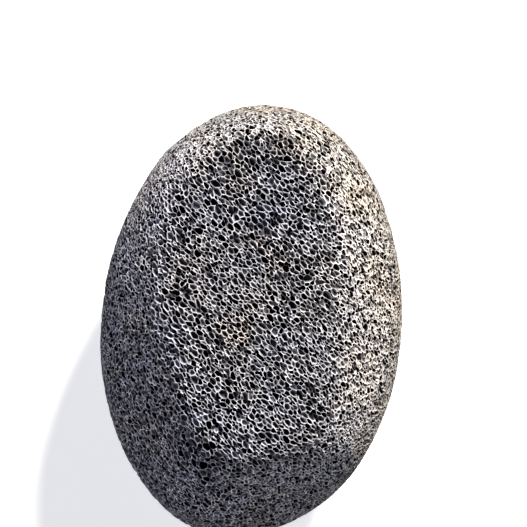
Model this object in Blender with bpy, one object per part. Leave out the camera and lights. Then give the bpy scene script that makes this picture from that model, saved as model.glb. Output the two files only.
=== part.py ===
"""A pumice foot stone: one oval lump of grey volcanic foam, ground to a flat top.

The long axis lies along Y and the stone rests on its flat underside at z = 0.
Its whole surface is open pores of mixed sizes, which meet in thin ridges.
Everything is in metres, and the origin is under the middle of the stone.
"""

import math

import bmesh
import bpy
import numpy as np
from mathutils import Matrix, Vector, noise

NAME = "pumice_stone"

# The oval, before anything is ground off it. Its widest level is the middle.
LENGTH = 0.0957
WIDTH = 0.0664
BODY_RISE = 0.0285  # from the widest level up
BODY_DROP = 0.0240  # and down
BODY_FULLNESS = 2.1  # 2 is an ellipse seen from the side, and more is boxier
EGG = -0.02  # how much broader the +Y end is, as a share of the width

# The flat top and the flat underside, measured from the widest level.
TOP_RISE = 0.0195
TOP_BEARING = 113.0  # the top leans down a little this way, in degrees from +X
TOP_TILT = 1.4
BOTTOM_DROP = 0.0185
BOTTOM_GRIND = 0.0003  # taken off the rounded underside last, which leaves it truly flat

# The flats ground down the sides: the bearing that each one faces and how far it tilts
# from level, in degrees, and how far from the middle of the top it cuts the top.
SIDE_FLATS = {
    "left": (188.9, 43.0, 0.0176),
    "tail_left": (217.3, 47.0, 0.0236),
    "tail": (292.4, 48.0, 0.0303),
    "right": (9.8, 38.0, 0.0182),
}

# How crisply these run into each other: 10 is a soft roll and 70 is an edge.
SIDE_CRISPNESS = 12.0
RIM_CRISPNESS = (14.0, 70.0)  # round the top, from its softest bearing to its crispest
SOFTEST_BEARING = 50.0
UNDERSIDE_CRISPNESS = 40.0

# Shallow unevenness of the ground surface.
SWELL_HEIGHT = 0.00035
SWELL_LENGTH = 0.014
DENT_AT = (-0.0009, 0.0199)
DENT_SIZE = (0.0080, 0.0045)
DENT_DEPTH = 0.0010
SHOULDER_AT = (-0.0221, 0.0332)
SHOULDER_SIZE = 0.0050
SHOULDER_HEIGHT = 0.0006

# The pores. Their radii are half the distance between neighbours.
PORE_COUNT = 1740
SIZE_SPREAD = 0.30  # of the logarithm of their sizes
SIZE_LIMITS = (0.60, 1.90)  # the smallest and largest, in mean sizes
CROWDING = 0.80  # how near two pores may come, in sums of their radii
TRIES = 80
DEPTH = (1.5, 2.3)  # the least and the most, in the pore's own radii
LEAN = 0.18  # how far its bottom wanders, in the pore's own radii
FOOT_RADIUS = 0.0045  # pores this near the middle of the underside are skinned over

SKIN_FINENESS = 6  # subdivisions of the skin that the pores are scattered on
SEED = 11
TINY = 1e-9

STONE_COLOUR = (0.27, 0.255, 0.245, 1.0)
STONE_ROUGHNESS = 0.95


def clear_scene():
    for old in list(bpy.data.objects):
        bpy.data.objects.remove(old, do_unlink=True)


def blend(gauges, crispness):
    """The largest of the gauges, rounded off where two of them are nearly equal."""
    largest = np.maximum.reduce(gauges)
    total = sum((np.maximum(gauge, 0.0) / largest) ** crispness for gauge in gauges)
    return largest * total ** (1.0 / crispness)


def body_gauge(directions):
    """1 where a vector's tip is on the oval, less inside it and more outside."""
    x, y, z = directions.T
    along = y / (LENGTH / 2)
    plan = np.hypot(x / (WIDTH / 2), along).clip(TINY)
    half_width = WIDTH / 2 * (1 + EGG * along / plan)
    plan = np.hypot(x / half_width, along)
    upright = np.abs(z) / np.where(z > 0, BODY_RISE, BODY_DROP)
    return (plan**BODY_FULLNESS + upright**BODY_FULLNESS) ** (1 / BODY_FULLNESS)


def flat_gauge(directions, bearing, tilt, cut):
    """The same for the plane of a flat that cuts the level top this far from the middle."""
    bearing, tilt = math.radians(bearing), math.radians(tilt)
    outward = (math.cos(bearing) * math.sin(tilt), math.sin(bearing) * math.sin(tilt), math.cos(tilt))
    distance = cut * math.sin(tilt) + TOP_RISE * math.cos(tilt)
    return directions @ np.array(outward) / distance


def ground_form(directions):
    """Where these directions from the middle leave the ground stone, without its pores."""
    x, y, z = directions.T
    flats = [flat_gauge(directions, *flat) for flat in SIDE_FLATS.values()]
    sides = blend([body_gauge(directions), *flats], SIDE_CRISPNESS)
    turn = np.arctan2(y, x) - math.radians(SOFTEST_BEARING)
    soft, crisp = RIM_CRISPNESS
    rim = soft + (crisp - soft) * (1 - np.cos(turn)) / 2
    whole = blend([sides, flat_gauge(directions, TOP_BEARING, TOP_TILT, 0.0)], rim)
    whole = blend([whole, -z / (BOTTOM_DROP + BOTTOM_GRIND)], UNDERSIDE_CRISPNESS)
    whole = np.maximum(whole, -z / BOTTOM_DROP)
    return directions / whole[:, None]


def unevenness(points):
    """How far the surface stands out from the ground form at these points."""
    x, y, z = points.T
    swell = np.array([noise.noise(Vector(point) / SWELL_LENGTH) for point in points])
    above_foot = np.clip(0.5 + z / BOTTOM_DROP, 0.0, 1.0)
    dent = ((x - DENT_AT[0]) / DENT_SIZE[0]) ** 2 + ((y - DENT_AT[1]) / DENT_SIZE[1]) ** 2
    shoulder = ((x - SHOULDER_AT[0]) ** 2 + (y - SHOULDER_AT[1]) ** 2 + z**2) / SHOULDER_SIZE**2
    return (
        SWELL_HEIGHT * swell * above_foot
        - DENT_DEPTH * np.exp(-dent) * (z > 0)
        + SHOULDER_HEIGHT * np.exp(-shoulder)
    )


def on_stone(points):
    """The points moved straight out from the middle, or in towards it, onto the surface."""
    directions = points / np.linalg.norm(points, axis=1)[:, None]
    ground = ground_form(directions)
    return ground + directions * unevenness(ground)[:, None]


def fine_skin():
    """Small triangles all over the stone, and the running total of their areas."""
    ball = bmesh.new()
    bmesh.ops.create_icosphere(ball, subdivisions=SKIN_FINENESS, radius=1.0)
    corners = on_stone(np.array([vertex.co for vertex in ball.verts]))
    triangles = corners[[[vertex.index for vertex in face.verts] for face in ball.faces]]
    ball.free()
    sides = triangles[:, 1:] - triangles[:, :1]
    areas = np.linalg.norm(np.cross(sides[:, 0], sides[:, 1]), axis=1) / 2
    return triangles, np.cumsum(areas)


def scatter_pores(rng):
    """Centres and radii of pores crowded evenly over the stone, the largest placed first."""
    triangles, running = fine_skin()
    hexagon_area = running[-1] / PORE_COUNT
    mean_radius = math.sqrt(hexagon_area / (2 * math.sqrt(3)))
    sizes = np.exp(rng.normal(0.0, SIZE_SPREAD, PORE_COUNT)).clip(*SIZE_LIMITS)
    sizes = np.sort(sizes)[::-1] / np.sqrt((sizes**2).mean())
    centres, radii = np.zeros((0, 3)), np.zeros(0)
    for radius in sizes * mean_radius:
        for _ in range(TRIES):
            triangle = triangles[np.searchsorted(running, rng.random() * running[-1])]
            centre = rng.dirichlet((1, 1, 1)) @ triangle
            gaps = np.linalg.norm(centres - centre, axis=1)
            if (gaps > CROWDING * (radii + radius)).all():
                centres = np.vstack([centres, centre])
                radii = np.append(radii, radius)
                break
    return centres, radii


def skin_through(centres):
    """A closed skin of triangles with a corner at the centre of each pore."""
    skin = bmesh.new()
    for centre in centres:
        skin.verts.new(centre / np.linalg.norm(centre))
    bmesh.ops.convex_hull(skin, input=skin.verts[:])
    for vertex, centre in zip(skin.verts, centres):
        vertex.co = centre
    bmesh.ops.beautify_fill(skin, faces=skin.faces[:], edges=skin.edges[:], method="AREA")
    skin.normal_update()
    return skin


def meeting_point(face, radii):
    """The point in a triangle where the rims of its three pores meet."""
    splits = []
    for edge in face.edges:
        (near, near_radius), (far, far_radius) = ((v.co, radii[v.index]) for v in edge.verts)
        splits.append(near.lerp(far, near_radius / (near_radius + far_radius)))
    return sum(splits, Vector()) / len(splits)


def raise_ridges(skin, radii):
    """Adds a corner inside each triangle, then turns each edge, so that ridges ring the pores."""
    corners = on_stone(np.array([meeting_point(face, radii) for face in skin.faces]))
    edges = skin.edges[:]
    added = bmesh.ops.poke(skin, faces=skin.faces[:])["verts"]
    for vertex, corner in zip(added, corners):
        vertex.co = corner
    bmesh.ops.rotate_edges(skin, edges=edges)


def sink_pores(skin, pores, inward, radii, rng):
    """Sinks the middle of each pore. Those at the foot become flat faces instead."""
    foot = [pore for pore in pores if pore.co.z < 0 and pore.co.xy.length < FOOT_RADIUS]
    for pore, direction, radius in zip(pores, inward, radii):
        wander = Vector(rng.normal(0.0, LEAN * radius, 3))
        wander -= wander.project(direction)
        pore.co += direction * radius * rng.uniform(*DEPTH) + wander
    bmesh.ops.dissolve_verts(skin, verts=foot)


def pumice_material():
    material = bpy.data.materials.new("pumice")
    material.use_nodes = True
    shader = material.node_tree.nodes["Principled BSDF"]
    shader.inputs["Base Color"].default_value = STONE_COLOUR
    shader.inputs["Roughness"].default_value = STONE_ROUGHNESS
    shader.inputs["Metallic"].default_value = 0.0
    material.diffuse_color = STONE_COLOUR
    return material


def build_stone():
    rng = np.random.default_rng(SEED)
    centres, radii = scatter_pores(rng)
    skin = skin_through(centres)
    pores = skin.verts[:]
    inward = [-pore.normal for pore in pores]
    raise_ridges(skin, radii)
    sink_pores(skin, pores, inward, radii, rng)
    mesh = bpy.data.meshes.new(NAME)
    skin.to_mesh(mesh)
    skin.free()
    corners = np.array([vertex.co for vertex in mesh.vertices])
    low, high = corners.min(axis=0), corners.max(axis=0)
    middle = (low + high) / 2
    mesh.transform(Matrix.Translation((-middle[0], -middle[1], -low[2])))
    mesh.materials.append(pumice_material())
    return bpy.data.objects.new(NAME, mesh)


clear_scene()
parts = bpy.data.collections.new("Pumice stone")
bpy.context.scene.collection.children.link(parts)
parts.objects.link(build_stone())
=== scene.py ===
import math

import bmesh
import bpy
import numpy as np
from mathutils import Matrix, Vector, noise
from mathutils.kdtree import KDTree


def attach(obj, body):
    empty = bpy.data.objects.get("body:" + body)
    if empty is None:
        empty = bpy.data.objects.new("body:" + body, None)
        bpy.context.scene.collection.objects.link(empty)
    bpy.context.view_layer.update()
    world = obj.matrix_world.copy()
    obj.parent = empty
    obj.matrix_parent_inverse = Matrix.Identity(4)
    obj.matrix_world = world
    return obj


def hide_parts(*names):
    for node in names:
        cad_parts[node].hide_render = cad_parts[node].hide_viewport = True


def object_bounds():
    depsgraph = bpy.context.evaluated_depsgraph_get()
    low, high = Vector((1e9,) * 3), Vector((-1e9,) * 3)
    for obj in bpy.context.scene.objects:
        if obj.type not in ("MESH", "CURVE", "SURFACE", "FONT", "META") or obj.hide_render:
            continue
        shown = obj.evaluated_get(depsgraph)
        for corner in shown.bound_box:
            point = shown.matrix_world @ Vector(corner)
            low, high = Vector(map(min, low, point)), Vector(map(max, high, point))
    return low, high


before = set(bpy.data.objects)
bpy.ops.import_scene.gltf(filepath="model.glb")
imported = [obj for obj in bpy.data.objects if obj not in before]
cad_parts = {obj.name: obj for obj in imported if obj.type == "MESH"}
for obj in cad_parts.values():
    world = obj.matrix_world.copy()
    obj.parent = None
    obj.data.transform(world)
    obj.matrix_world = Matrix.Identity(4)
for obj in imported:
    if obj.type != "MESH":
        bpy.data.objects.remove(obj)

mm = 0.001
cadBox = [list(corner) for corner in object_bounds()]
print("frame loaded, the stone is", [round((b - a) / mm, 1) for a, b in zip(*cadBox)], "mm")

# the ground stone: an oval with flats ground on it, measured from its widest level
form = {
    "length": 95.7 * mm,
    "width": 66.4 * mm,
    "rise": 28.5 * mm,  # of the oval above its widest level, before grinding
    "drop": 24.0 * mm,  # and below it
    "fullness": 2.1,  # 2 is an ellipse from the side, and more is boxier
    "egg": -0.02,  # how much wider the +Y end is
    "tiny": 1e-9,  # keeps the poles from dividing by nothing
    "topRise": 19.5 * mm,
    "topBearing": 113.0,  # the way the top leans down, in degrees from +X
    "topTilt": 1.4,
    "bottomDrop": 18.5 * mm,
    "bottomGrind": 0.3 * mm,  # taken off last, which leaves the underside truly flat
    "flats": [
        (188.9, 43.0, 17.6 * mm),  # bearing, tilt, and how far from the middle it cuts the top
        (217.3, 47.0, 23.6 * mm),
        (292.4, 48.0, 30.3 * mm),
        (9.8, 38.0, 18.2 * mm),
    ],
    "sideCrispness": 12.0,  # how sharply two surfaces meet
    "rimSoft": 14.0,
    "rimCrisp": 24.0,
    "softestBearing": 50.0,
    "undersideCrispness": 40.0,
    "swellHeight": 0.35 * mm,
    "swellLength": 14 * mm,
    "lumpHeight": 0.20 * mm,
    "lumpLength": 3.6 * mm,
    "dentAt": (-0.9 * mm, 19.9 * mm),
    "dentSize": (8.0 * mm, 4.5 * mm),
    "dentDepth": 1.0 * mm,
    "shoulderAt": (-22.1 * mm, 33.2 * mm),
    "shoulderSize": 5.0 * mm,
    "shoulderHeight": 0.6 * mm,
}


def direction(bearing, height):
    bearing, height = math.radians(bearing), math.radians(height)
    level = math.cos(height)
    return Vector((math.cos(bearing) * level, math.sin(bearing) * level, math.sin(height)))


def blendGauges(gauges, crispness):
    # each gauge is 1 on its own surface, and the largest one cuts the stone
    largest = np.maximum.reduce(gauges)
    total = sum((np.maximum(g, 0.0) / largest) ** crispness for g in gauges)
    return largest * total ** (1.0 / crispness)


def flatGauge(ways, bearing, tilt, cut):
    bearing, tilt = math.radians(bearing), math.radians(tilt)
    across = math.sin(tilt)
    outward = np.array([math.cos(bearing) * across, math.sin(bearing) * across, math.cos(tilt)])
    return ways @ outward / (cut * across + form["topRise"] * math.cos(tilt))


def groundForm(ways):
    # where each direction from the middle leaves the ground stone
    x, y, z = ways.T
    along = y / (form["length"] / 2)
    plan = np.hypot(x / (form["width"] / 2), along).clip(form["tiny"])
    halfWidth = form["width"] / 2 * (1 + form["egg"] * along / plan)
    plan = np.hypot(x / halfWidth, along)
    upright = np.abs(z) / np.where(z > 0, form["rise"], form["drop"])
    full = form["fullness"]
    body = (plan**full + upright**full) ** (1 / full)
    flats = [flatGauge(ways, *flat) for flat in form["flats"]]
    sides = blendGauges([body] + flats, form["sideCrispness"])
    turn = np.arctan2(y, x) - math.radians(form["softestBearing"])
    rim = form["rimSoft"] + (form["rimCrisp"] - form["rimSoft"]) * (1 - np.cos(turn)) / 2
    top = flatGauge(ways, form["topBearing"], form["topTilt"], 0.0)
    whole = blendGauges([sides, top], rim)
    underside = -z / (form["bottomDrop"] + form["bottomGrind"])
    whole = blendGauges([whole, underside], form["undersideCrispness"])
    whole = np.maximum(whole, -z / form["bottomDrop"])
    return ways / whole[:, None]


def unevenness(points):
    x, y, z = points.T
    swell = np.array([noise.noise(Vector(p) / form["swellLength"]) for p in points])
    lump = np.array([noise.noise(Vector(p) / form["lumpLength"]) for p in points])
    aboveFoot = np.clip(0.5 + z / form["bottomDrop"], 0.0, 1.0)  # the underside stays level
    (dx, dy), (wide, tall) = form["dentAt"], form["dentSize"]
    dent = ((x - dx) / wide) ** 2 + ((y - dy) / tall) ** 2
    sx, sy = form["shoulderAt"]
    shoulder = ((x - sx) ** 2 + (y - sy) ** 2 + z**2) / form["shoulderSize"] ** 2
    return (
        (form["swellHeight"] * swell + form["lumpHeight"] * lump) * aboveFoot
        - form["dentDepth"] * np.exp(-dent) * (z > 0)
        + form["shoulderHeight"] * np.exp(-shoulder)
    )


def onStone(points):
    ways = points / np.linalg.norm(points, axis=1)[:, None]
    ground = groundForm(ways)
    return ground + ways * unevenness(ground)[:, None]


# open cells in two sizes: small ones, and the chambers that they lie in, whose walls stand higher
foam = {
    "seed": 7,
    "skinFineness": 6,  # of the ball that the places are drawn from
    "drawnAtOnce": 4096,  # random places
    "cells": 22500,
    "chambers": 5600,
    "spread": 0.34,  # of the logarithm of the sizes
    "limits": (0.50, 1.9),  # the smallest and largest, in mean sizes
    "crowding": 0.78,  # how near two cells may come, in sums of their radii
    "tries": 60,  # before a cell is given up
    "batch": 160,  # cells placed before their tree is built again
    "grainBearing": -42.0,  # the way the cells are drawn out
    "stretch": 1.55,
    "patchLength": 11 * mm,  # patches of coarser and finer foam
    "patchAt": (7, 3, 5),
    "patchSpread": 0.20,
    "dentCoarser": 0.15,
    "sideFiner": 0.24,
    "sideFrom": 17.5 * mm,  # the height above and below the middle where the sides begin
    "sideFull": 13.5 * mm,
    "jitter": 0.17,  # of the corners, in cell radii
    "sag": 0.06 * mm,  # how much the highest edges dip
    "brokenShare": 0.24,
    "brokenSag": 0.50 * mm,
    "chambersTried": 6,  # the nearest ones, of which each cell takes one
    "recess": (0.0 * mm, 0.50 * mm),  # of the edges inside a chamber
    "recessWobble": (0.8, 1.2),
    "recessPatches": 1.0,
    "recessPatchAt": (3, 9, 2),
    "wornRecess": 0.3,  # what is left of it on the worn sides
    "wornTilt": (0.98, 0.82),  # the upward share of the normal, from unworn to fully worn
    "mostWorn": 48.0,  # the bearing of the side worn most, which faces the light and is painted warmer
    "leastWorn": 0.30,  # how worn the opposite side is
    "lip": (0.01 * mm, 0.16 * mm),  # the flat top of a wall, from its middle to the mouth
    "wornLip": (0.04 * mm, 0.30 * mm),
    "wornDeepLip": (0.02 * mm, 0.14 * mm),
    "lipSkew": 1.6,  # more thin ones than wide ones
    "widestLip": 0.50,  # of the cell's radius
    "lipDrop": (0.0 * mm, 0.07 * mm),
    "deepShare": 0.80,  # of the cells with few deep ones beside them
    "deepAmong": 9,  # the cell itself and the eight nearest
    "deepBeside": 3,  # the most of those eight that may be deep already
    "deepUpTo": 1.45,  # in mean cell radii: wider cells are shallow more often
    "wideDeepShare": 0.25,
    "openShare": 0.03,  # of the walls between deep cells that are gone
    "deepDepth": (0.85, 1.7),  # in the cell's own widths
    "deepFloor": (0.68, 0.92),  # the floor's width, as a share of the mouth's
    "shallowDepth": (0.25, 0.65),
    "shallowFloor": (0.40, 0.75),
    "pointedBelow": 1.0 * mm,  # shallow cells narrower than this end in a point
    "floorWobble": (0.85, 1.1),
    "lean": 0.08,  # how far a floor wanders, in the cell's own widths
    "deepest": 2.0 * mm,
    "lipShade": 0.10,  # how far down the wall's painted shade each level is
    "deepShade": 3.0,
    "shallowShade": 0.4,
    "wornShallows": 0.50,  # what is left of the shallow cells' depth and painted shade on the worn sides
    "awayPaintedShade": 1.1,  # painted shade: how much darker shallow cells are on the side away from the worn one, which faces the light
    "pieces": ("pumiceUnderside", "pumiceSide", "pumiceTop"),
    "cuts": (0.33, 0.66),  # where they part, by height
}


def fineSkin():
    # the ground stone in small triangles, with a running total of their areas
    ball = bmesh.new()
    bmesh.ops.create_icosphere(ball, subdivisions=foam["skinFineness"], radius=1.0)
    corners = onStone(np.array([v.co for v in ball.verts]))
    triangles = corners[[[v.index for v in f.verts] for f in ball.faces]]
    ball.free()
    sides = triangles[:, 1:] - triangles[:, :1]
    areas = np.linalg.norm(np.cross(sides[:, 0], sides[:, 1]), axis=1) / 2
    return triangles, np.cumsum(areas)


def spots(rng, triangles, running):
    # an endless run of random places on the stone
    count = foam["drawnAtOnce"]
    while True:
        picked = triangles[np.searchsorted(running, rng.random(count) * running[-1])]
        yield from np.einsum("ij,ijk->ik", rng.dirichlet((1, 1, 1), count), picked)


def wornSide(x, y):
    away = math.atan2(y, x) - math.radians(foam["mostWorn"])
    return 1 - (1 - foam["leastWorn"]) * (1 - math.cos(away)) / 2


def coarseness(spot):
    cloud = noise.noise(Vector(spot) / foam["patchLength"] + Vector(foam["patchAt"]))
    patch = 1 + foam["patchSpread"] * cloud
    (dx, dy), (wide, tall) = form["dentAt"], form["dentSize"]
    dent = math.exp(-(((spot[0] - dx) / wide) ** 2) - ((spot[1] - dy) / tall) ** 2)
    begin, full = foam["sideFrom"], foam["sideFull"]
    side = min(max((begin - abs(spot[2])) / (begin - full), 0.0), 1.0)
    finer = foam["sideFiner"] * side * wornSide(spot[0], spot[1])
    return patch + foam["dentCoarser"] * dent * (spot[2] > 0) - finer


def grainSquash():
    # in squashed space the drawn-out cells are round
    return np.array(Matrix.Scale(1 / foam["stretch"], 3, direction(foam["grainBearing"], 0)))


def treeOf(points):
    tree = KDTree(len(points))
    for i, point in enumerate(points):
        tree.insert(point, i)
    tree.balance()
    return tree


def scatter(rng, triangles, running, count, squash):
    # places the largest first, and each where it doesn't crowd the others
    meanRadius = math.sqrt(running[-1] / foam["stretch"] / count / (2 * math.sqrt(3)))
    sizes = np.exp(rng.normal(0.0, foam["spread"], count)).clip(*foam["limits"])
    sizes = np.sort(sizes)[::-1] / np.sqrt((sizes**2).mean()) * meanRadius
    places = spots(rng, triangles, running)
    centres, radii = [], []
    for start in range(0, count, foam["batch"]):
        tree = treeOf(centres)
        widest = max(radii, default=0.0)
        first = len(centres)
        for size in sizes[start:start + foam["batch"]]:
            for _ in range(foam["tries"]):
                place = next(places)
                spot = squash @ place
                radius = size * coarseness(place)
                near = tree.find_range(spot, foam["crowding"] * (radius + widest))
                if any(gap < foam["crowding"] * (radius + radii[i]) for _, i, gap in near):
                    continue
                if len(centres) > first:
                    fresh = np.array(centres[first:]) - spot
                    reach = foam["crowding"] * (np.array(radii[first:]) + radius)
                    if ((fresh**2).sum(axis=1) < reach**2).any():
                        continue
                centres.append(spot)
                radii.append(radius)
                break
    return np.array(centres), np.array(radii)


def deepCells(centres, radii, rng):
    # deep cells spread evenly among the shallow ones
    tree = treeOf(centres)
    wide = radii > foam["deepUpTo"] * radii.mean()
    chance = np.where(wide, foam["wideDeepShare"], foam["deepShare"])
    wanted = rng.random(len(centres)) < chance
    deep = np.zeros(len(centres), bool)
    for i in rng.permutation(len(centres)):
        beside = sum(deep[near] for _, near, _ in tree.find_n(centres[i], foam["deepAmong"]))
        deep[i] = wanted[i] and beside <= foam["deepBeside"]
    return deep


def chamberOf(centres, chambers, chamberRadii):
    # the chamber that each cell lies in
    tree = treeOf(chambers)
    homes = []
    for centre in centres:
        near = tree.find_n(centre, foam["chambersTried"])
        homes.append(min(near, key=lambda found: found[2] / chamberRadii[found[1]])[1])
    return homes


def cellOutlines(centres, radii, squash, deep, rng):
    # the foam's cells as one closed skin: a hull through the centres, with corners and faces swapped
    skin = bmesh.new()
    for centre in centres:
        skin.verts.new(centre / np.linalg.norm(centre))
    bmesh.ops.convex_hull(skin, input=skin.verts[:])
    for vert, centre in zip(skin.verts, centres):
        vert.co = centre
    bmesh.ops.beautify_fill(skin, faces=skin.faces[:], edges=skin.edges[:], method="AREA")
    # three cells meet in each triangle, nearer the smaller ones
    meetings = []
    for face in skin.faces:
        points = [v.co for v in face.verts]
        sizes = [radii[v.index] for v in face.verts]
        shares = [sizes[i] / (sizes[i] + sizes[i - 1]) for i in range(3)]
        splits = [points[i].lerp(points[i - 1], shares[i]) for i in range(3)]
        shift = Vector(rng.normal(0.0, foam["jitter"] * min(sizes), 3))
        meetings.append(sum(splits, Vector()) / 3 + shift)
    middles = skin.verts[:]
    number = skin.faces.layers.int.new("cell")
    edges = skin.edges[:]
    added = bmesh.ops.poke(skin, faces=skin.faces[:])["verts"]
    for vert, meeting in zip(added, meetings):
        vert.co = meeting
    bmesh.ops.rotate_edges(skin, edges=edges)
    for vert in middles:
        for face in vert.link_faces:
            face[number] = vert.index
    bmesh.ops.dissolve_verts(skin, verts=middles)
    gone = [
        edge for edge in skin.edges
        if all(deep[face[number]] for face in edge.link_faces) and rng.random() < foam["openShare"]
    ]
    bmesh.ops.dissolve_edges(skin, edges=gone)
    unsquash = np.linalg.inv(squash)
    places = onStone(np.array([v.co for v in skin.verts]) @ unsquash.T)
    for vert, place in zip(skin.verts, places):
        vert.co = place
    skin.verts.index_update()
    skin.faces.index_update()
    skin.normal_update()
    return skin, [face[number] for face in skin.faces]


def wear(normal):
    # 0 on the flat top and underside, up to 1 on the rounded sides
    unworn, worn = foam["wornTilt"]
    tilted = min(max((unworn - abs(normal.z)) / (unworn - worn), 0.0), 1.0)
    return tilted * wornSide(normal.x, normal.y)


def turned(normal):
    # 0 to 1 towards the side worn most, which faces the light, and 0 on level ground to 1 on an
    # upright side; the finish paints warm light, blue shade and darker sides by these
    return 0.5 + 0.5 * normal.dot(direction(foam["mostWorn"], 0)), 1 - abs(normal.z)


def edgeSags(skin, numbers, homes, chamberCount, rng):
    # how far each corner of the network stands below the ground surface
    sag = np.abs(rng.normal(0.0, foam["sag"], len(skin.verts)))
    broken = rng.random(len(sag)) < foam["brokenShare"]
    sag[broken] += rng.random(broken.sum()) * foam["brokenSag"]
    recess = rng.uniform(*foam["recess"], chamberCount)
    patchAt = Vector(foam["recessPatchAt"])
    for vert in skin.verts:
        around = {homes[numbers[face.index]] for face in vert.link_faces}
        if len(around) == 1:  # inside a chamber, not on its wall
            left = 1 - (1 - foam["wornRecess"]) * wear(vert.normal)
            patch = 1 + foam["recessPatches"] * noise.noise(vert.co / foam["patchLength"] + patchAt)
            wobble = rng.uniform(*foam["recessWobble"])
            sag[vert.index] += recess[around.pop()] * wobble * left * patch
    return sag


def band(outer, inner):
    # faces all the way round, between two rings of points
    return [(outer[i - 1], outer[i], inner[i], inner[i - 1]) for i in range(len(outer))]


def growFoam(skin, numbers, sag, deep, rng):
    # every cell gets a lip round its mouth, then a wall down to a floor or a point
    points = [v.co - v.normal * sag[v.index] for v in skin.verts]
    depths = [sag[v.index] for v in skin.verts]
    below = [0.0] * len(points)
    tones = list(rng.random(len(points)))
    turns = [turned(v.normal) for v in skin.verts]
    faces = []
    levels = []  # the height of each face's cell

    def addPoint(place, depth, shade, tone):
        points.append(place)
        depths.append(depth)
        below.append(shade)
        tones.append(tone)

    for face in skin.faces:
        kind = "deep" if deep[numbers[face.index]] else "shallow"
        worn = wear(face.normal)
        ring = [v.index for v in face.verts]
        middle = face.calc_center_median()
        level = sum(sag[i] for i in ring) / len(ring)
        tone = rng.random()
        wornLip = foam["wornDeepLip" if kind == "deep" else "wornLip"]
        thin, thick = [a + (b - a) * worn for a, b in zip(foam["lip"], wornLip)]
        lip = list(range(len(points), len(points) + len(ring)))
        mouth = []
        for vert in face.verts:
            inward = middle - vert.co
            inward -= inward.project(face.normal)
            wide = thin + (thick - thin) * rng.random() ** foam["lipSkew"]
            step = min(wide / inward.length, foam["widestLip"])
            down = sag[vert.index] + rng.uniform(*foam["lipDrop"])
            mouth.append(vert.co + inward * step)
            addPoint(mouth[-1] - face.normal * down, down, foam["lipShade"], tone)
        newFaces = band(ring, lip)
        width = 2 * math.sqrt(face.calc_area() / math.pi)
        plunge = rng.uniform(*foam[kind + "Depth"])
        # the floor's painted shade: less where wear left the cell shallow, and more on the side away
        # from the light
        shade = foam[kind + "Shade"]
        if kind == "shallow":
            left = 1 - (1 - foam["wornShallows"]) * worn
            plunge *= left
            shade *= left
            shade *= 1 + foam["awayPaintedShade"] * max(0.5 - turned(face.normal)[0], 0.0)
        depth = level + min(width, foam["deepest"]) * plunge
        lean = Vector(rng.normal(0.0, foam["lean"] * width, 3))
        lean -= lean.project(face.normal)
        if kind == "shallow" and width < foam["pointedBelow"]:
            newFaces += [(lip[i - 1], lip[i], len(points)) for i in range(len(lip))]
            addPoint(middle + lean - face.normal * depth, depth, shade, tone)
        else:
            share = rng.uniform(*foam[kind + "Floor"])
            floor = list(range(len(points), len(points) + len(ring)))
            for corner in mouth:
                down = depth * rng.uniform(*foam["floorWobble"])
                place = middle + (corner - middle) * share + lean - face.normal * down
                addPoint(place, down, shade, tone)
            newFaces += band(lip, floor)
            newFaces.append(tuple(floor))
        turns += [turned(face.normal)] * (len(points) - len(turns))
        faces += newFaces
        levels += [middle.z] * len(newFaces)
    sunward, upright = np.array(turns).T
    # what the finish reads at each point
    marks = {
        "pit": np.array(depths) / foam["deepest"],
        "below": np.array(below),
        "tone": np.array(tones),
        "sunward": sunward,
        "upright": upright,
    }
    return np.array(points), faces, levels, marks


def toBox(points):
    # the foam fills the stone's own box exactly
    low, high = points.min(axis=0), points.max(axis=0)
    boxLow, boxHigh = (np.array(corner) for corner in cadBox)
    return boxLow + (points - low) / (high - low) * (boxHigh - boxLow)


def addPiece(name, points, faces, marks):
    used = sorted({i for face in faces for i in face})
    place = dict(zip(used, range(len(used))))
    mesh = bpy.data.meshes.new(name)
    mesh.from_pydata(points[used], [], [[place[i] for i in face] for face in faces])
    for key, values in marks.items():
        mesh.attributes.new(key, "FLOAT", "POINT").data.foreach_set("value", values[used])
    mesh.update()
    mesh.calc_loop_triangles()
    print(name, "has", len(mesh.loop_triangles), "triangles")
    piece = bpy.data.objects.new(name, mesh)
    bpy.context.scene.collection.objects.link(piece)
    return piece


def buildStone():
    rng = np.random.default_rng(foam["seed"])
    triangles, running = fineSkin()
    squash = grainSquash()
    print("the ground form has", round(running[-1] / mm**2), "square mm")
    centres, radii = scatter(rng, triangles, running, foam["cells"], squash)
    chambers, chamberRadii = scatter(rng, triangles, running, foam["chambers"], squash)
    print(len(centres), "cells in", len(chambers), "chambers")
    deep = deepCells(centres, radii, rng)
    skin, numbers = cellOutlines(centres, radii, squash, deep, rng)
    homes = chamberOf(centres, chambers, chamberRadii)
    sag = edgeSags(skin, numbers, homes, len(chambers), rng)
    points, faces, levels, marks = growFoam(skin, numbers, sag, deep, rng)
    skin.free()
    points = toBox(points)
    cuts = np.quantile(levels, foam["cuts"])
    pieces = []
    for name, low, high in zip(foam["pieces"], [-np.inf, *cuts], [*cuts, np.inf]):
        mine = [face for face, level in zip(faces, levels) if low < level <= high]
        pieces.append(addPiece(name, points, mine, marks))
    return pieces


pieces = buildStone()
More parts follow.
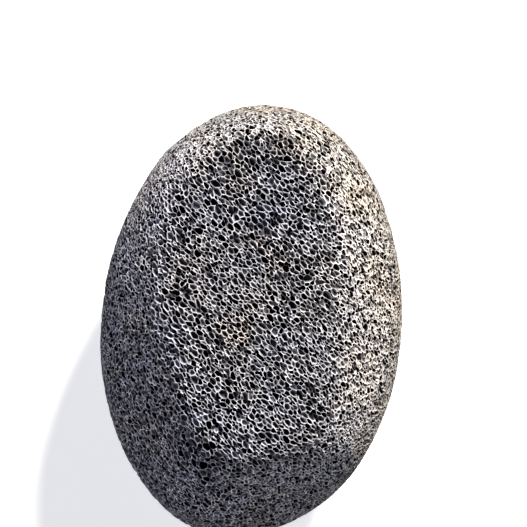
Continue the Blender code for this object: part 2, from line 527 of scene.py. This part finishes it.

# pale ridges over pits darkened by painted shade, painted warm sunlight on the worn side that faces
# the light and painted blue shade on the other
finish = {
    "roughness": 0.92,
    "gloss": 0.2,
    "downWallPaintedShade": [  # painted shade: darker from an edge down to the floor of its cell, under a pale crest
        (0.0, (1.0, 0.99, 0.98, 1)),
        (0.10, (0.50, 0.50, 0.505, 1)),
        (0.40, (0.19, 0.192, 0.208, 1)),
        (0.60, (0.05, 0.05, 0.055, 1)),
        (1.0, (0.03, 0.03, 0.035, 1)),
    ],
    "depthPaintedShade": [  # painted shade: darker from the ground surface into the stone
        (0.05, (0.68, 0.665, 0.64, 1)),
        (0.18, (0.36, 0.357, 0.36, 1)),
        (0.40, (0.17, 0.17, 0.185, 1)),
        (0.75, (0.06, 0.06, 0.07, 1)),
    ],
    "toneSpan": (0.66, 1.30),  # from cell to cell
    # painted light and shade: blue away from the worn, sun-facing side and warm towards it
    "paintedSunAndSkyTint": [
        (0.15, (0.915, 0.925, 1.07, 1)),
        (0.5, (0.955, 0.968, 1.05, 1)),
        (0.85, (1.02, 0.955, 0.87, 1)),
    ],
    "uprightPaintedShade": [  # painted shade: the upright sides darker, which keeps those facing the low sun from glaring
        (0.3, (1.0, 1.0, 1.0, 1)),
        (0.5, (0.66, 0.66, 0.66, 1)),
        (0.75, (0.46, 0.46, 0.46, 1)),
    ],
    "patchScale": 95.0,  # patches a centimetre or so across
    "patchDetail": 2.0,
    "patchColours": [
        (0.36, (0.95, 0.98, 1.03, 1)),
        (0.52, (1.0, 1.0, 1.0, 1)),
        (0.66, (1.04, 1.0, 0.95, 1)),
    ],
    "plain": (1.0, 1.0, 1.0, 1),
    "stainsAndPaintedLight": [  # stains and painted light: where on the top, how far it reaches, and its tint
        ((-3.2 * mm, -4.9 * mm), 5.5 * mm, (1.08, 0.98, 0.84, 1)),  # ochre
        ((-0.9 * mm, 16.0 * mm), 3.0 * mm, (1.10, 0.98, 0.88, 1)),  # painted warm sunlight on the dent's lower rim
        ((-0.9 * mm, 20.5 * mm), 5.5 * mm, (0.84, 0.89, 1.02, 1)),  # painted blue shade in the dent
        ((20.0 * mm, 22.0 * mm), 18.0 * mm, (1.28, 1.27, 1.24, 1)),  # a wide painted brightening where the upper right faces the light
    ],
    "streakScale": 1500.0,
    "streakDetail": 1.0,
    "streakStretch": 3.2,
    "streakSpan": (0.15, 1.85),
    "crumbScale": 3200.0,
    "crumbDetail": 1.0,
    "crumbSpan": (0.75, 1.2),
    "crumbBump": 0.5,
    "crumbHeight": 0.10 * mm,
}


def attributeNode(tree, name):
    node = tree.nodes.new("ShaderNodeAttribute")
    node.attribute_name = name
    return node.outputs["Fac"]


def rampNode(tree, value, stops):
    ramp = tree.nodes.new("ShaderNodeValToRGB")
    tree.links.new(value, ramp.inputs["Fac"])
    elements = ramp.color_ramp.elements
    for position, _ in stops[1:-1]:
        elements.new(position)
    for element, (position, colour) in zip(elements, stops):
        element.position = position
        element.color = colour
    return ramp.outputs["Color"]


def multiplyNode(tree, a, b):
    mix = tree.nodes.new("ShaderNodeMix")
    mix.data_type = "RGBA"
    mix.blend_type = "MULTIPLY"
    mix.clamp_result = True
    mix.inputs["Factor"].default_value = 1.0
    tree.links.new(a, mix.inputs["A"])
    tree.links.new(b, mix.inputs["B"])
    return mix.outputs["Result"]


def noiseNode(tree, name, stretch=1.0):
    # a cloud drawn out along the grain of the stone
    place = tree.nodes.new("ShaderNodeTexCoord")
    turn = tree.nodes.new("ShaderNodeMapping")
    turn.inputs["Rotation"].default_value = (0, 0, -math.radians(foam["grainBearing"]))
    squash = tree.nodes.new("ShaderNodeMapping")
    squash.inputs["Scale"].default_value = (1 / stretch, 1, 1)
    cloud = tree.nodes.new("ShaderNodeTexNoise")
    cloud.inputs["Scale"].default_value = finish[name + "Scale"]
    cloud.inputs["Detail"].default_value = finish[name + "Detail"]
    tree.links.new(place.outputs["Object"], turn.inputs["Vector"])
    tree.links.new(turn.outputs["Vector"], squash.inputs["Vector"])
    tree.links.new(squash.outputs["Vector"], cloud.inputs["Vector"])
    return cloud.outputs["Fac"]


def spanNode(tree, value, span):
    spread = tree.nodes.new("ShaderNodeMapRange")
    spread.inputs["To Min"].default_value, spread.inputs["To Max"].default_value = span
    tree.links.new(value, spread.inputs["Value"])
    return spread.outputs["Result"]


def stainAndLightSpotNode(tree, spot, reach, tint):
    # full in the middle and gone at its reach
    place = tree.nodes.new("ShaderNodeTexCoord")
    away = tree.nodes.new("ShaderNodeVectorMath")
    away.operation = "DISTANCE"
    away.inputs[1].default_value = (*spot, cadBox[1][2])
    tree.links.new(place.outputs["Object"], away.inputs[0])
    share = tree.nodes.new("ShaderNodeMath")
    share.operation = "DIVIDE"
    share.inputs[1].default_value = reach
    tree.links.new(away.outputs["Value"], share.inputs[0])
    return rampNode(tree, share.outputs["Value"], [(0.0, tint), (1.0, finish["plain"])])


def pumiceFinish():
    mat = bpy.data.materials.new("pumiceFoam")
    mat.use_nodes = True
    tree = mat.node_tree
    shader = tree.nodes["Principled BSDF"]
    shader.inputs["Roughness"].default_value = finish["roughness"]
    shader.inputs["Specular IOR Level"].default_value = finish["gloss"]
    streak = noiseNode(tree, "streak", finish["streakStretch"])
    crumb = noiseNode(tree, "crumb")
    # painted shade in the pits, painted warm light and blue shade by direction, painted shade on the
    # upright sides, stains and painted light spots, then random tints, streaks and crumbs
    layers = [
        rampNode(tree, attributeNode(tree, "pit"), finish["depthPaintedShade"]),
        rampNode(tree, attributeNode(tree, "below"), finish["downWallPaintedShade"]),
        spanNode(tree, attributeNode(tree, "tone"), finish["toneSpan"]),
        rampNode(tree, attributeNode(tree, "sunward"), finish["paintedSunAndSkyTint"]),
        rampNode(tree, attributeNode(tree, "upright"), finish["uprightPaintedShade"]),
        *[stainAndLightSpotNode(tree, *stainAndLightSpot) for stainAndLightSpot in finish["stainsAndPaintedLight"]],
        rampNode(tree, noiseNode(tree, "patch"), finish["patchColours"]),
        spanNode(tree, streak, finish["streakSpan"]),
        spanNode(tree, crumb, finish["crumbSpan"]),
    ]
    colour = layers[0]
    for layer in layers[1:]:
        colour = multiplyNode(tree, colour, layer)
    tree.links.new(colour, shader.inputs["Base Color"])
    bump = tree.nodes.new("ShaderNodeBump")
    bump.inputs["Strength"].default_value = finish["crumbBump"]
    bump.inputs["Distance"].default_value = finish["crumbHeight"]
    tree.links.new(crumb, bump.inputs["Height"])
    tree.links.new(bump.outputs["Normal"], shader.inputs["Normal"])
    return mat


pumiceMat = pumiceFinish()
for piece in pieces:
    piece.data.materials.append(pumiceMat)
    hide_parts("pumice_stone")
    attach(piece, "root")
print("finished", len(pieces), "pieces in", pumiceMat.name)

# a pale floor, a low warm sun, a soft blue fill and a faint sky
stageSet = {
    "floorSize": 4.0,
    "floorGap": 0.2 * mm,  # under the stone
    "floorColour": (0.93, 0.93, 0.93, 1),
    "floorRoughness": 0.8,
    "floorGlowColour": (1, 1, 1, 1),
    "floorGlow": 0.50,
    "keyFrom": (70, 25),  # bearing and height
    "keyPower": 13.0,
    "keyColour": (1.0, 0.957, 0.92),
    "keySoftness": 12,
    "fillFrom": (222, 40),
    "fillPower": 1.22,
    "fillColour": (0.84, 0.87, 1.0),
    "fillSoftness": 14,
    "skyColour": (0.93, 0.93, 1.0, 1),
    "skyPower": 0.085,
    "viewTransform": "Standard",
}


def addFloor():
    gap = stageSet["floorGap"]
    bpy.ops.mesh.primitive_plane_add(size=stageSet["floorSize"], location=(0, 0, -gap))
    floor = bpy.context.object
    floor.name = "floor"
    mat = bpy.data.materials.new("floor")
    mat.use_nodes = True
    sockets = mat.node_tree.nodes["Principled BSDF"].inputs
    sockets["Base Color"].default_value = stageSet["floorColour"]
    sockets["Roughness"].default_value = stageSet["floorRoughness"]
    sockets["Emission Color"].default_value = stageSet["floorGlowColour"]
    sockets["Emission Strength"].default_value = stageSet["floorGlow"]
    floor.data.materials.append(mat)
    return floor


def addSun(name):
    sun = bpy.data.lights.new(name, "SUN")
    sun.energy = stageSet[name + "Power"]
    sun.color = stageSet[name + "Colour"]
    sun.angle = math.radians(stageSet[name + "Softness"])
    lamp = bpy.data.objects.new(name, sun)
    lamp.rotation_euler = direction(*stageSet[name + "From"]).to_track_quat("Z", "Y").to_euler()
    bpy.context.scene.collection.objects.link(lamp)


def addSky():
    world = bpy.data.worlds.new("sky")
    world.use_nodes = True
    sockets = world.node_tree.nodes["Background"].inputs
    sockets["Color"].default_value = stageSet["skyColour"]
    sockets["Strength"].default_value = stageSet["skyPower"]
    bpy.context.scene.world = world


floor = addFloor()
addSun("key")
addSun("fill")
addSky()
bpy.context.scene.view_settings.view_transform = stageSet["viewTransform"]
print("floor and lights are in")

# where the camera stands, and how the stone sits in its image
view = {
    "bearing": -93.0,  # in degrees from +X
    "height": 84.5,
    "roll": 6.3,
    "distance": 0.42,
    "pixel": 0.2185 * mm,  # how much of the stone's middle one pixel covers
    "imageWidth": 527,
    "right": 11.5,  # how far the camera aims off the stone's middle, in pixels
    "up": 55.5,
    "sensor": 36.0,
}


def addCamera():
    middle = Vector((0, 0, (cadBox[0][2] + cadBox[1][2]) / 2))
    back = direction(view["bearing"], view["height"])
    roll = math.radians(view["roll"])
    upHint = Vector((-math.sin(roll), math.cos(roll), 0))
    right = upHint.cross(back).normalized()
    up = back.cross(right)
    aim = middle + right * view["right"] * view["pixel"] + up * view["up"] * view["pixel"]
    lens = bpy.data.cameras.new("camera")
    lens.sensor_width = view["sensor"]
    lens.lens = view["sensor"] * view["distance"] / (view["imageWidth"] * view["pixel"])
    camera = bpy.data.objects.new("camera", lens)
    turn = Matrix((right, up, back)).transposed().to_4x4()
    camera.matrix_world = Matrix.Translation(aim + back * view["distance"]) @ turn
    bpy.context.scene.collection.objects.link(camera)
    return camera


bpy.context.scene.camera = addCamera()
print("camera is set")
